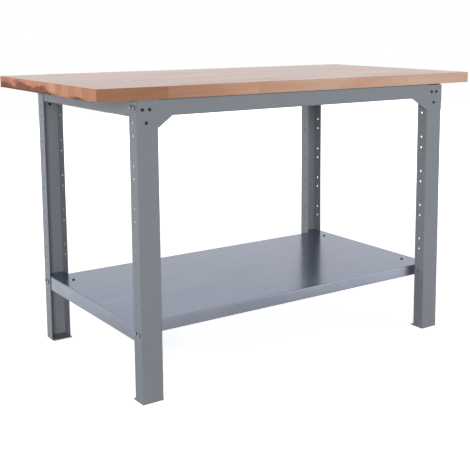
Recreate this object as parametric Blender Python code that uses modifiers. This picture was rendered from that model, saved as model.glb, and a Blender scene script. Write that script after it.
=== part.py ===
# Steel workbench with a laminated beech worktop and a sheet steel shelf.
# All lengths are in metres. X runs along the bench, -Y is the front, Z is up.
# The origin is on the floor under the middle of the worktop.

import math

import bmesh
import bpy
from mathutils import Matrix, Vector

# Overall sizes
bench_height = 0.865
worktop_length = 1.350
worktop_depth = 0.700
worktop_thickness = 0.034
worktop_edge_round = 0.0015
worktop_end_overhang = 0.115
worktop_side_overhang = 0.010

# Clearances between pieces that touch, and the overrun of every cut
touch_gap = 0.0003
cut_overrun = 0.002

# Legs, folded from sheet into channels that open towards the middle of the bench
leg_web_width = 0.064
leg_flange_depth = 0.043
leg_sheet = 0.002
leg_bend_radius = 0.003
leg_top_gap = 0.004

# Feet, flat plates under the legs that reach past the open side
foot_plate_thickness = 0.003
foot_plate_reach = 0.012

# Hole pattern of the leg flanges: pairs of holes, one pair below another,
# counted from the first hole's distance below the worktop, in a row that is
# set back from the web's outer face. Between the pairs the sheet is plain, in
# bands that start a little away from the holes.
flange_hole_diameter = 0.007
flange_hole_setback = 0.0245
first_hole_drop = 0.061
hole_pair_spacing = 0.035
hole_pair_pitch = 0.115
hole_pair_count = 5
plain_band_setback = 0.012

# Front and rear rails, with a plate at each end that lies over the leg and, on
# the front rail, runs on into a gusset
rail_height = 0.045
rail_sheet = 0.002
rail_bend_radius = 0.004
rail_top_flange = 0.030
rail_bottom_flange = 0.015
rail_end_inset = 0.002
rail_corner_relief = 0.002
rail_right_end_drop = 0.0035
gusset_height_left = 0.075
gusset_width_left = 0.041
gusset_height_right = 0.087
gusset_width_right = 0.070
rear_plate_height = 0.075

# Side rails, tucked inside the outer flanges of the legs
side_rail_height = 0.047
side_rail_top_flange = 0.025
side_rail_bottom_flange = 0.015
side_rail_bolt_drop = 0.021

# Shelf beams, channels that carry the tray and are tucked in like the side rails
beam_height = 0.045
beam_sheet = 0.0015
beam_bend_radius = 0.003
beam_top_flange = 0.057
beam_bottom_flange = 0.020
beam_bolt_drop = 0.0185

# Shelf tray, one sheet with a folded lip along the front and the rear
tray_sheet = 0.001
tray_bend_radius = 0.0022
tray_lip_height = 0.0345
tray_hem = 0.010
tray_clearance = 0.0005
tray_lip_clearance = 0.003
tray_hole_inset = 0.044
tray_hole_setback = 0.081

# Black button-head screws with hexagon nuts, for the rails and the tray
screw_spacing = 0.021
screw_offset = 0.005
screw_diameter = 0.005
screw_hole_diameter = 0.0058
screw_head_diameter = 0.009
screw_head_height = 0.0028
screw_head_round = 0.0010
screw_nut_flats = 0.008
screw_nut_height = 0.004

# Zinc-plated hexagon bolts and nuts, for the side rails and the shelf beams
bolt_spacing = 0.0175
bolt_diameter = 0.006
bolt_head_flats = 0.010
bolt_head_height = 0.004
bolt_nut_flats = 0.010
bolt_nut_height = 0.005

# Thread that stands out of a nut
thread_end = 0.0015

# Pan-head wood screws that hold the worktop down on the rails
wood_screw_diameter = 0.0045
wood_screw_hole_diameter = 0.0055
wood_screw_head_diameter = 0.010
wood_screw_head_height = 0.0025
wood_screw_head_round = 0.0008
wood_screw_bite = 0.020
wood_screw_end_inset = 0.080
wood_screws_per_long_rail = 3
wood_screws_per_side_rail = 2

# Facets of round shapes
hole_sides = 16
bolt_sides = 12
wood_screw_sides = 8
bend_steps = 3
smooth_angle = math.radians(35)

# Places that follow from the sizes
frame_length = worktop_length - 2 * worktop_end_overhang
frame_depth = worktop_depth - 2 * worktop_side_overhang
underside = bench_height - worktop_thickness
frame_top = underside - touch_gap
leg_top = underside - leg_top_gap
leg_bottom = foot_plate_thickness + touch_gap
leg_inner_face = frame_length / 2 - leg_web_width
rail_face = frame_depth / 2 + touch_gap + rail_sheet
rail_fold_half_length = leg_inner_face - touch_gap
first_hole_height = underside - first_hole_drop
top_row_height = first_hole_height + hole_pair_spacing
side_bolt_height = underside - side_rail_bolt_drop
shelf_row_height = first_hole_height - hole_pair_count * hole_pair_pitch
beam_top = shelf_row_height + beam_bolt_drop
tray_top = beam_top + touch_gap + tray_sheet
tucked_face = frame_length / 2 - leg_sheet - touch_gap
corner_clearance = leg_bend_radius - leg_sheet + touch_gap
tucked_half_length = frame_depth / 2 - leg_sheet - corner_clearance
tray_half_length = tucked_face - touch_gap
tray_half_depth = frame_depth / 2 - leg_flange_depth - tray_clearance
tray_lip_half_length = tucked_face - beam_top_flange - tray_lip_clearance

X_AXIS = Vector((1, 0, 0))
Y_AXIS = Vector((0, 1, 0))
Z_AXIS = Vector((0, 0, 1))
RIGHT_ANGLE = math.radians(90)
HALF_TURN = math.radians(180)
FULL_TURN = math.radians(360)


def clear_scene():
    """Remove every object, so that the scene holds the workbench alone."""
    for obj in list(bpy.data.objects):
        bpy.data.objects.remove(obj, do_unlink=True)


def make_material(name, colour, roughness, metallic):
    """Make a finish from its colour, roughness and metallic value."""
    material = bpy.data.materials.new(name)
    material.use_nodes = True
    shader = material.node_tree.nodes["Principled BSDF"]
    shader.inputs["Base Color"].default_value = (*colour, 1)
    shader.inputs["Roughness"].default_value = roughness
    shader.inputs["Metallic"].default_value = metallic
    return material


def working_object(name, bm):
    """Turn a mesh under construction into an object that modifiers can use."""
    mesh = bpy.data.meshes.new(name)
    bm.to_mesh(mesh)
    bm.free()
    obj = bpy.data.objects.new(name, mesh)
    bpy.context.scene.collection.objects.link(obj)
    return obj


def finished_mesh(obj, cutters=()):
    """Return the mesh as its modifiers shape it, and remove the working objects."""
    graph = bpy.context.evaluated_depsgraph_get()
    mesh = bpy.data.meshes.new_from_object(obj.evaluated_get(graph))
    mesh.name = obj.name
    bpy.data.objects.remove(obj)
    for cutter in cutters:
        bpy.data.objects.remove(cutter)
    mesh.shade_smooth()
    mesh.set_sharp_from_angle(angle=smooth_angle)
    return mesh


def flat_sheet(across, along, width_range, length_range):
    """Start a sheet as one flat face, from its ranges along two directions."""
    bm = bmesh.new()
    middle = across * (sum(width_range) / 2) + along * (sum(length_range) / 2)
    half_width = (width_range[1] - width_range[0]) / 2
    half_length = (length_range[1] - length_range[0]) / 2
    bmesh.ops.create_grid(bm, x_segments=1, y_segments=1, size=1)
    stretch = Matrix.Identity(4)
    stretch.col[0] = (across * half_width).to_4d()
    stretch.col[1] = (along * half_length).to_4d()
    stretch.col[2] = across.cross(along).to_4d()
    stretch.col[3] = middle.to_4d()
    for column in range(3):
        stretch[3][column] = 0
    bmesh.ops.transform(bm, matrix=stretch, verts=bm.verts)
    return bm


def divide(bm, point, normal, faces=None):
    """Score the sheet along a line, so that its faces end there."""
    faces = bm.faces[:] if faces is None else faces
    geometry = set(faces)
    for face in faces:
        geometry.update(face.edges)
        geometry.update(face.verts)
    bmesh.ops.bisect_plane(bm, geom=list(geometry), plane_co=point, plane_no=normal, dist=touch_gap / 100)


def trim(bm, unwanted):
    """Take away the faces whose middle lies in the unwanted region."""
    faces = [face for face in bm.faces if unwanted(face.calc_center_median())]
    bmesh.ops.delete(bm, geom=faces, context="FACES")


def outer_edges(bm, wanted):
    """Find the free edges whose middle and direction are the wanted ones."""
    found = []
    for edge in bm.edges:
        middle = (edge.verts[0].co + edge.verts[1].co) / 2
        if edge.is_boundary and wanted(middle):
            found.append(edge)
    return found


def fold(bm, edges, pivot, axis, angle, straight):
    """Bend the sheet round a pivot at its free edges, then run it on straight."""
    spun = bmesh.ops.spin(bm, geom=edges, cent=pivot, axis=axis, angle=angle, steps=bend_steps)
    last = [item for item in spun["geom_last"] if isinstance(item, bmesh.types.BMEdge)]
    pushed = bmesh.ops.extrude_edge_only(bm, edges=last)
    verts = [item for item in pushed["geom"] if isinstance(item, bmesh.types.BMVert)]
    bmesh.ops.translate(bm, vec=straight, verts=verts)
    return [item for item in pushed["geom"] if isinstance(item, bmesh.types.BMEdge) and item.is_boundary]


def thickened(name, bm, outer_point, outward, sheet):
    """Give a folded surface its sheet thickness, inwards from its outer face."""
    bmesh.ops.remove_doubles(bm, verts=bm.verts, dist=touch_gap / 10)
    bmesh.ops.recalc_face_normals(bm, faces=bm.faces)
    nearest = min(bm.faces, key=lambda face: (face.calc_center_median() - outer_point).length)
    if nearest.normal.dot(outward) < 0:
        bmesh.ops.reverse_faces(bm, faces=bm.faces)
    obj = working_object(name, bm)
    solid = obj.modifiers.new("sheet", "SOLIDIFY")
    solid.thickness = sheet
    solid.offset = -1
    solid.use_even_offset = True
    return obj


def drill(obj, holes):
    """Cut round holes, each given as its centre, direction, diameter and length."""
    bm = bmesh.new()
    for centre, direction, diameter, length in holes:
        turn = Z_AXIS.rotation_difference(direction).to_matrix().to_4x4()
        bmesh.ops.create_cone(
            bm,
            cap_ends=True,
            segments=hole_sides,
            radius1=diameter / 2,
            radius2=diameter / 2,
            depth=length,
            matrix=Matrix.Translation(centre) @ turn,
        )
    cutter = working_object("drill", bm)
    cutter.hide_render = True
    cutter.display_type = "WIRE"
    cut = obj.modifiers.new("holes", "BOOLEAN")
    cut.operation = "DIFFERENCE"
    cut.object = cutter
    return cutter


def grip_of(*sheets):
    """Distance between a fastener's head and its nut, with a gap at every face."""
    return sum(sheets) + (len(sheets) + 1) * touch_gap


def evenly(count, half_span):
    """Spread a number of places evenly over a span that is centred on zero."""
    if count == 1:
        return [0]
    return [half_span * (2 * index / (count - 1) - 1) for index in range(count)]


def bolt_places():
    """Places along the flange, from the web's outer face, of two bolts side by side."""
    middle = leg_flange_depth / 2
    return [middle - bolt_spacing / 2, middle + bolt_spacing / 2]


def screw_places():
    """Places on the leg's web, across and up, of the three screws of a rail's end."""
    pair = [(offset - screw_offset, top_row_height) for offset in (-screw_spacing / 2, screw_spacing / 2)]
    return pair + [(-screw_offset, first_hole_height)]


def flange_hole_heights():
    """Heights of the single holes in both flanges, pair by pair downwards."""
    heights = []
    for pair in range(hole_pair_count):
        upper = first_hole_height - pair * hole_pair_pitch
        heights += [upper, upper - hole_pair_spacing]
    return heights


def plain_band_edges():
    """Heights at which the plain bands between the hole pairs begin and end."""
    edges = []
    for pair in range(1, hole_pair_count):
        upper = first_hole_height - pair * hole_pair_pitch
        next_hole = upper + hole_pair_pitch - hole_pair_spacing
        edges += [upper + plain_band_setback, next_hole - plain_band_setback]
    return edges


def leg_mesh(hand):
    """Channel leg seen from outside: the outer flange is on the side of the hand."""
    half = leg_web_width / 2
    flat_half = half - leg_bend_radius
    bm = flat_sheet(X_AXIS, Z_AXIS, (-flat_half, flat_half), (leg_bottom, leg_top))
    straight = Y_AXIS * (leg_flange_depth - leg_bend_radius)
    for side in (-1, 1):
        edges = outer_edges(bm, lambda middle: abs(middle.x - side * flat_half) < touch_gap and middle.y == 0)
        pivot = Vector((side * flat_half, leg_bend_radius, 0))
        fold(bm, edges, pivot, Z_AXIS, side * RIGHT_ANGLE, straight)
    for height in plain_band_edges():
        divide(bm, Vector((0, 0, height)), Z_AXIS)
    web_point = Vector((0, 0, (leg_bottom + leg_top) / 2))
    obj = thickened("leg", bm, web_point, -Y_AXIS, leg_sheet)

    one_wall = leg_sheet + 2 * cut_overrun
    outer_wall = hand * (half - leg_sheet / 2)
    inner_wall = -outer_wall
    holes = []
    single_holes = [(wall, height) for wall in (outer_wall, inner_wall) for height in flange_hole_heights()]
    for wall, height in single_holes + [(inner_wall, shelf_row_height)]:
        holes.append((Vector((wall, flange_hole_setback, height)), X_AXIS, flange_hole_diameter, one_wall))
    for height in (side_bolt_height, shelf_row_height):
        for place in bolt_places():
            holes.append((Vector((outer_wall, place, height)), X_AXIS, flange_hole_diameter, one_wall))
    for across, height in screw_places():
        web_hole = Vector((across, leg_sheet / 2, height))
        holes.append((web_hole, Y_AXIS, screw_hole_diameter, one_wall))
    return finished_mesh(obj, [drill(obj, holes)])


def foot_plate_mesh():
    """Flat plate under a leg, from the web's outer face to past the open side."""
    reach = leg_flange_depth + foot_plate_reach
    bm = bmesh.new()
    bmesh.ops.create_cube(bm, size=1)
    bmesh.ops.scale(bm, vec=(leg_web_width, reach, foot_plate_thickness), verts=bm.verts)
    bmesh.ops.translate(bm, vec=(0, reach / 2, foot_plate_thickness / 2), verts=bm.verts)
    return finished_mesh(working_object("foot_plate", bm))


def long_rail_mesh(left_width, left_height, right_width, right_height):
    """Front or rear rail, from its outer face and the top of the frame.

    Each end is a plate over the leg, of its own height. A gusset of its own width
    joins the plate to the rail, and there is none where the width is zero.
    """
    half = frame_length / 2 - rail_end_inset
    top_line = -rail_bend_radius
    bottom_line = -(rail_height - rail_bend_radius)
    foot = rail_fold_half_length
    relief = foot + rail_corner_relief
    left_head = -foot + left_width
    right_head = foot - right_width
    lowest = max(left_height, right_height)
    bm = flat_sheet(X_AXIS, Z_AXIS, (-half, half), (-lowest, 0))
    for place in (-relief, -foot, left_head, right_head, foot, relief):
        divide(bm, Vector((place, 0, 0)), X_AXIS)
    for height in (top_line, bottom_line, -rail_height):
        divide(bm, Vector((0, 0, height)), Z_AXIS)
    trim(bm, lambda middle: middle.z > top_line and abs(middle.x) < relief)
    divide(bm, Vector((0, 0, -rail_right_end_drop)), Z_AXIS)
    trim(bm, lambda middle: middle.z > -rail_right_end_drop and middle.x > relief)
    trim(bm, lambda middle: left_head < middle.x < right_head and middle.z < bottom_line)
    for side, head, plate_height in ((-1, left_head, left_height), (1, right_head, right_height)):
        low, high = sorted((side * foot, head))
        ends = [face for face in bm.faces if side * face.calc_center_median().x > 0]
        divide(bm, Vector((0, 0, -plate_height)), Z_AXIS, ends)
        trim(bm, lambda middle: side * middle.x > 0 and middle.z < -plate_height)
        if high - low < touch_gap:
            continue
        corner = [
            face
            for face in bm.faces
            if low < face.calc_center_median().x < high and face.calc_center_median().z < -rail_height
        ]
        start = Vector((side * foot, 0, -plate_height))
        slope = Vector((head, 0, -rail_height)) - start
        across = slope.cross(Y_AXIS).normalized()
        across *= -1 if across.z > 0 else 1
        divide(bm, start, across, corner)
        trim(
            bm,
            lambda middle: low < middle.x < high
            and middle.z < -rail_height
            and (middle - start).dot(across) > 0,
        )
    edges = outer_edges(bm, lambda middle: abs(middle.x) < foot and abs(middle.z - top_line) < touch_gap)
    pivot = Vector((0, rail_bend_radius, top_line))
    fold(bm, edges, pivot, X_AXIS, -RIGHT_ANGLE, Y_AXIS * (rail_top_flange - rail_bend_radius))
    edges = outer_edges(
        bm, lambda middle: left_head < middle.x < right_head and abs(middle.z - bottom_line) < touch_gap
    )
    pivot = Vector((0, rail_bend_radius, bottom_line))
    fold(bm, edges, pivot, X_AXIS, RIGHT_ANGLE, Y_AXIS * (rail_bottom_flange - rail_bend_radius))
    web_point = Vector((0, 0, -rail_height / 2))
    obj = thickened("long_rail", bm, web_point, -Y_AXIS, rail_sheet)

    one_wall = rail_sheet + 2 * cut_overrun
    leg_middle = (frame_length - leg_web_width) / 2
    holes = []
    for side in (-1, 1):
        for across, height in screw_places():
            place = Vector((side * leg_middle + across, rail_sheet / 2, height - frame_top))
            holes.append((place, Y_AXIS, screw_hole_diameter, one_wall))
    for place in long_rail_screw_places():
        hole = Vector((place, rail_top_flange / 2, -rail_sheet / 2))
        holes.append((hole, Z_AXIS, wood_screw_hole_diameter, one_wall))
    return finished_mesh(obj, [drill(obj, holes)])


def long_rail_screw_places():
    """Places along the front and rear rails of the wood screws."""
    return evenly(wood_screws_per_long_rail, leg_inner_face - wood_screw_end_inset)


def side_rail_screw_places():
    """Places along the side rails of the wood screws."""
    reach = tucked_half_length - leg_flange_depth - wood_screw_end_inset
    return evenly(wood_screws_per_side_rail, reach)


def channel(name, height, sheet, radius, top_flange, bottom_flange):
    """Channel along Y from its outer face and its top, with both flanges towards +X."""
    half = tucked_half_length
    top_line = -radius
    bottom_line = -(height - radius)
    bm = flat_sheet(Y_AXIS, Z_AXIS, (-half, half), (bottom_line, top_line))
    folds = ((top_line, RIGHT_ANGLE, top_flange), (bottom_line, -RIGHT_ANGLE, bottom_flange))
    for line, angle, flange in folds:
        edges = outer_edges(bm, lambda middle: middle.x == 0 and abs(middle.z - line) < touch_gap)
        fold(bm, edges, Vector((radius, 0, line)), Y_AXIS, angle, X_AXIS * (flange - radius))
    return thickened(name, bm, Vector((0, 0, -height / 2)), -X_AXIS, sheet)


def tucked_bolt_holes(sheet, height):
    """Holes for the bolts of a tucked-in channel, at both of its ends."""
    holes = []
    for end in (-1, 1):
        for place in bolt_places():
            centre = Vector((sheet / 2, end * (frame_depth / 2 - place), height))
            holes.append((centre, X_AXIS, flange_hole_diameter, sheet + 2 * cut_overrun))
    return holes


def side_rail_mesh():
    """Left side rail, from its outer face and the top of the frame."""
    obj = channel(
        "side_rail",
        side_rail_height,
        rail_sheet,
        rail_bend_radius,
        side_rail_top_flange,
        side_rail_bottom_flange,
    )
    holes = tucked_bolt_holes(rail_sheet, side_bolt_height - frame_top)
    for place in side_rail_screw_places():
        hole = Vector((side_rail_top_flange / 2, place, -rail_sheet / 2))
        holes.append((hole, Z_AXIS, wood_screw_hole_diameter, rail_sheet + 2 * cut_overrun))
    return finished_mesh(obj, [drill(obj, holes)])


def tray_screw_place(side, face):
    """Place on the shelf of the screw that holds one corner of the tray to its beam."""
    return side * (tray_half_length - tray_hole_inset), face * (tray_half_depth - tray_hole_setback)


def beam_mesh():
    """Left shelf beam, from its outer face and its top."""
    obj = channel(
        "shelf_beam",
        beam_height,
        beam_sheet,
        beam_bend_radius,
        beam_top_flange,
        beam_bottom_flange,
    )
    holes = tucked_bolt_holes(beam_sheet, shelf_row_height - beam_top)
    for face in (-1, 1):
        across, back = tray_screw_place(-1, face)
        hole = Vector((across + tucked_face, back, -beam_sheet / 2))
        holes.append((hole, Z_AXIS, screw_hole_diameter, beam_sheet + 2 * cut_overrun))
    return finished_mesh(obj, [drill(obj, holes)])


def tray_mesh():
    """Shelf tray from its upper face, with a hemmed lip at the front and the rear."""
    flat_half = tray_half_depth - tray_bend_radius
    hem_radius = tray_bend_radius
    bm = flat_sheet(X_AXIS, Y_AXIS, (-tray_half_length, tray_half_length), (-flat_half, flat_half))
    for side in (-1, 1):
        divide(bm, Vector((side * tray_lip_half_length, 0, 0)), X_AXIS)
    for face in (-1, 1):
        edges = outer_edges(
            bm,
            lambda middle: abs(middle.x) < tray_lip_half_length and abs(middle.y - face * flat_half) < touch_gap,
        )
        pivot = Vector((0, face * flat_half, -tray_bend_radius))
        drop = tray_lip_height - tray_bend_radius - hem_radius
        lip = fold(bm, edges, pivot, X_AXIS, -face * RIGHT_ANGLE, -Z_AXIS * drop)
        bottom = [edge for edge in lip if abs(edge.verts[0].co.z - edge.verts[1].co.z) < touch_gap]
        pivot = Vector((0, face * (tray_half_depth - hem_radius), -(tray_lip_height - hem_radius)))
        inward = -face * Y_AXIS * (tray_hem - hem_radius)
        fold(bm, bottom, pivot, X_AXIS, -face * RIGHT_ANGLE, inward)
    obj = thickened("tray", bm, Vector((0, 0, 0)), Z_AXIS, tray_sheet)
    holes = []
    for side in (-1, 1):
        for face in (-1, 1):
            across, back = tray_screw_place(side, face)
            centre = Vector((across, back, -tray_sheet / 2))
            holes.append((centre, Z_AXIS, screw_hole_diameter, tray_sheet + 2 * cut_overrun))
    return finished_mesh(obj, [drill(obj, holes)])


def worktop_mesh():
    """Solid worktop with eased edges and a pilot hole for every wood screw."""
    bm = bmesh.new()
    bmesh.ops.create_cube(bm, size=1)
    bmesh.ops.scale(bm, vec=(worktop_length, worktop_depth, worktop_thickness), verts=bm.verts)
    bmesh.ops.translate(bm, vec=(0, 0, bench_height - worktop_thickness / 2), verts=bm.verts)
    obj = working_object("worktop", bm)
    edge = obj.modifiers.new("eased edges", "BEVEL")
    edge.width = worktop_edge_round
    edge.segments = 2
    pilot = wood_screw_diameter + 2 * touch_gap
    depth = wood_screw_bite + touch_gap
    holes = []
    for across, back in wood_screw_places():
        centre = Vector((across, back, underside + (depth - cut_overrun) / 2))
        holes.append((centre, Z_AXIS, pilot, depth + cut_overrun))
    return finished_mesh(obj, [drill(obj, holes)])


def wood_screw_groups():
    """Places of the wood screws, named by the rail that they pass through."""
    back = rail_face - rail_top_flange / 2
    across = tucked_face - side_rail_top_flange / 2
    return {
        "front": [(place, -back) for place in long_rail_screw_places()],
        "rear": [(-place, back) for place in long_rail_screw_places()],
        "left": [(-across, place) for place in side_rail_screw_places()],
        "right": [(across, -place) for place in side_rail_screw_places()],
    }


def wood_screw_places():
    """Places of all wood screws."""
    return [place for group in wood_screw_groups().values() for place in group]


def prism(sides, across_flats, low, high):
    """Upright prism about Z, hexagonal or nearly round, between two heights."""
    bm = bmesh.new()
    radius = across_flats / 2 / math.cos(HALF_TURN / sides)
    bmesh.ops.create_cone(
        bm, cap_ends=True, segments=sides, radius1=radius, radius2=radius, depth=high - low
    )
    bmesh.ops.translate(bm, vec=(0, 0, (low + high) / 2), verts=bm.verts)
    return bm


def turned(name, profile, sides):
    """Solid turned about Z, from a profile that runs down its outer side."""
    bm = bmesh.new()
    verts = [bm.verts.new((across, 0, up)) for across, up in profile]
    for first, second in zip(verts, verts[1:]):
        bm.edges.new((first, second))
    obj = working_object(name, bm)
    turning = obj.modifiers.new("turned", "SCREW")
    turning.axis = "Z"
    turning.angle = FULL_TURN
    turning.steps = sides
    turning.render_steps = sides
    turning.use_merge_vertices = True
    turning.merge_threshold = touch_gap / 10
    return obj


def rounded_head(diameter, height, edge_round, shank_diameter, shank_length):
    """Profile of a screw whose rounded head stands on zero, with the shank below."""
    return [
        (0, height),
        (diameter / 2 - edge_round, height),
        (diameter / 2, height - edge_round),
        (diameter / 2, 0),
        (shank_diameter / 2, 0),
        (shank_diameter / 2, -shank_length),
        (0, -shank_length),
    ]


def joined(obj, others):
    """Join solids that overlap into one closed body."""
    for other in others:
        union = obj.modifiers.new(other.name, "BOOLEAN")
        union.operation = "UNION"
        union.object = other
    return finished_mesh(obj, others)


def rail_screw_mesh(grip):
    """Button-head screw with its nut tightened on, round sheets as thick as the grip."""
    length = grip + screw_nut_height + thread_end
    profile = rounded_head(
        screw_head_diameter, screw_head_height, screw_head_round, screw_diameter, length
    )
    nut = working_object("nut", prism(6, screw_nut_flats, -grip - screw_nut_height, -grip))
    return joined(turned("button_screw", profile, bolt_sides), [nut])


def hexagon_bolt_mesh(grip):
    """Hexagon bolt with its nut tightened on, round sheets as thick as the grip."""
    length = grip + bolt_nut_height + thread_end
    head = working_object("hexagon_bolt", prism(6, bolt_head_flats, 0, bolt_head_height))
    shank = working_object("shank", prism(bolt_sides, bolt_diameter, -length, bolt_head_height / 2))
    nut = working_object("nut", prism(6, bolt_nut_flats, -grip - bolt_nut_height, -grip))
    return joined(head, [shank, nut])


def wood_screw_mesh():
    """Pan-head wood screw that grips the rail flange and bites into the worktop."""
    length = rail_sheet + 2 * touch_gap + wood_screw_bite
    profile = rounded_head(
        wood_screw_head_diameter,
        wood_screw_head_height,
        wood_screw_head_round,
        wood_screw_diameter,
        length,
    )
    return finished_mesh(turned("wood_screw", profile, wood_screw_sides))


def turned_to(direction):
    """Turn that points an upright piece's Z axis along a direction."""
    return Z_AXIS.rotation_difference(direction).to_euler()


def build():
    """Make every piece and put it in its place."""
    clear_scene()
    collection = bpy.data.collections.new("workbench")
    bpy.context.scene.collection.children.link(collection)
    materials = {
        "painted_steel": make_material("painted_steel", (0.24, 0.26, 0.28), 0.45, 0),
        "zinc_sheet": make_material("zinc_sheet", (0.60, 0.62, 0.67), 0.25, 1),
        "zinc_fasteners": make_material("zinc_fasteners", (0.70, 0.71, 0.72), 0.30, 1),
        "black_steel": make_material("black_steel", (0.02, 0.02, 0.022), 0.45, 0),
        "beech": make_material("beech", (0.56, 0.35, 0.22), 0.50, 0),
    }

    def add(name, mesh, material, location=(0, 0, 0), turn=(0, 0, 0), parent=None):
        obj = bpy.data.objects.new(name, mesh)
        collection.objects.link(obj)
        if not mesh.materials:
            mesh.materials.append(materials[material])
        obj.location = location
        obj.rotation_euler = turn
        obj.parent = parent
        return obj

    add("worktop", worktop_mesh(), "beech")

    foot_plate = foot_plate_mesh()
    legs = {hand: leg_mesh(hand) for hand in (-1, 1)}
    rail_screw = rail_screw_mesh(grip_of(leg_sheet, rail_sheet))
    rail_bolt = hexagon_bolt_mesh(grip_of(leg_sheet, rail_sheet))
    shelf_bolt = hexagon_bolt_mesh(grip_of(leg_sheet, beam_sheet))
    for face_name, face in (("front", -1), ("rear", 1)):
        for side_name, side in (("left", -1), ("right", 1)):
            corner_name = face_name + "_" + side_name
            hand = side * -face
            corner = bpy.data.objects.new("corner_" + corner_name, None)
            collection.objects.link(corner)
            corner.location = (side * (frame_length - leg_web_width) / 2, face * frame_depth / 2, 0)
            corner.rotation_euler = (0, 0, 0 if face < 0 else HALF_TURN)
            add("leg_" + corner_name, legs[hand], "painted_steel", parent=corner)
            add("foot_plate_" + corner_name, foot_plate, "painted_steel", parent=corner)
            for number, (across, height) in enumerate(screw_places(), 1):
                place = (across, -(rail_sheet + 2 * touch_gap), height)
                name = f"rail_screw_{corner_name}_{number}"
                add(name, rail_screw, "black_steel", place, turned_to(-Y_AXIS), corner)
            rows = (("side_rail", side_bolt_height, rail_bolt), ("shelf", shelf_row_height, shelf_bolt))
            for row_name, height, bolt in rows:
                for number, along in enumerate(bolt_places(), 1):
                    place = (hand * (leg_web_width / 2 + touch_gap), along, height)
                    name = f"{row_name}_bolt_{corner_name}_{number}"
                    add(name, bolt, "zinc_fasteners", place, turned_to(hand * X_AXIS), corner)

    half_turn = (0, 0, HALF_TURN)
    front_rail = long_rail_mesh(
        gusset_width_left, gusset_height_left, gusset_width_right, gusset_height_right
    )
    rear_rail = long_rail_mesh(0, rear_plate_height, 0, rear_plate_height)
    add("front_rail", front_rail, "painted_steel", (0, -rail_face, frame_top))
    add("rear_rail", rear_rail, "painted_steel", (0, rail_face, frame_top), half_turn)
    side_rail = side_rail_mesh()
    add("left_side_rail", side_rail, "painted_steel", (-tucked_face, 0, frame_top))
    add("right_side_rail", side_rail, "painted_steel", (tucked_face, 0, frame_top), half_turn)
    beam = beam_mesh()
    add("left_shelf_beam", beam, "zinc_sheet", (-tucked_face, 0, beam_top))
    add("right_shelf_beam", beam, "zinc_sheet", (tucked_face, 0, beam_top), half_turn)
    add("shelf_tray", tray_mesh(), "zinc_sheet", (0, 0, tray_top))

    tray_screw = rail_screw_mesh(grip_of(tray_sheet, beam_sheet))
    for side_name, side in (("left", -1), ("right", 1)):
        for face_name, face in (("front", -1), ("rear", 1)):
            across, back = tray_screw_place(side, face)
            place = (across, back, tray_top + touch_gap)
            add(f"tray_screw_{face_name}_{side_name}", tray_screw, "black_steel", place)

    wood_screw = wood_screw_mesh()
    for rail_name, places in wood_screw_groups().items():
        for number, (across, back) in enumerate(places, 1):
            place = (across, back, frame_top - rail_sheet - touch_gap)
            name = f"worktop_screw_{rail_name}_{number}"
            add(name, wood_screw, "zinc_fasteners", place, turned_to(-Z_AXIS))


build()
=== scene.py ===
# %% [markdown]
# # A workshop bench in Blender
#
# The bench has a glued beech worktop, a bolted frame of folded and powder-coated sheet steel, and
# a bright zinc-coated shelf. The frame file already holds every solid at its real size and place.
# This lesson gives these solids their finishes, models the fasteners finely, and sets up a floor,
# soft lamps and a camera.

# %% Load the bench
import math

import bmesh
import bpy
from mathutils import Matrix, Vector


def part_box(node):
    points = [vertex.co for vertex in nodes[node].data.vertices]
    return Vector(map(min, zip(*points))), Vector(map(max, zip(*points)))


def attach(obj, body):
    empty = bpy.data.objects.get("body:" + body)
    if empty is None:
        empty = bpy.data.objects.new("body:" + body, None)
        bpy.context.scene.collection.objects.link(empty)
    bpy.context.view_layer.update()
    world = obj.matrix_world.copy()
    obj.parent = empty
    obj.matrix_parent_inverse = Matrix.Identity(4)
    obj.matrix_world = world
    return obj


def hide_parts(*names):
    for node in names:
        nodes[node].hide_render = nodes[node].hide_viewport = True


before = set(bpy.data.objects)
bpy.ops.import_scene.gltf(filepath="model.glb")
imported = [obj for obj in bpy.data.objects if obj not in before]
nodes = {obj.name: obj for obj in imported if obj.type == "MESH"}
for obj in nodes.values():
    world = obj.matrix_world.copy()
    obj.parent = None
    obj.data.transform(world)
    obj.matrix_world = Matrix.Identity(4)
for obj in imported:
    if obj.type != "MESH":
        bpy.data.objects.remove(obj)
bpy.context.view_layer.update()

# %% [markdown]
# ## Measuring the solids
#
# Every solid knows its own place, so nothing is measured twice: the corners of a solid come from
# its box. Lists of names that start alike are handy too, because a finish goes on many solids.


# %% Corners and lists of names
def corners(name):
    """The lowest and the highest corner of a solid."""
    low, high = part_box(name)
    return Vector(low), Vector(high)


def names_with(start):
    """The names of the solids that start with this word."""
    return sorted(name for name in nodes if name.startswith(start))


legs = names_with("leg_")
foot_plates = names_with("foot_plate_")
rails = ["front_rail", "rear_rail", "left_side_rail", "right_side_rail"]
beams = ["left_shelf_beam", "right_shelf_beam"]
print(len(legs), "legs,", len(foot_plates), "foot plates")

# %% [markdown]
# ## Writing shaders as sums
#
# A finish is a network of small nodes. Wiring them one by one is hard to read, so a socket is
# wrapped in a class that knows how to add and multiply: a sum in Python then becomes Math nodes
# in the shader. Every other node comes from one method, which takes the node's kind, its settings
# and the values of its inputs.


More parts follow.
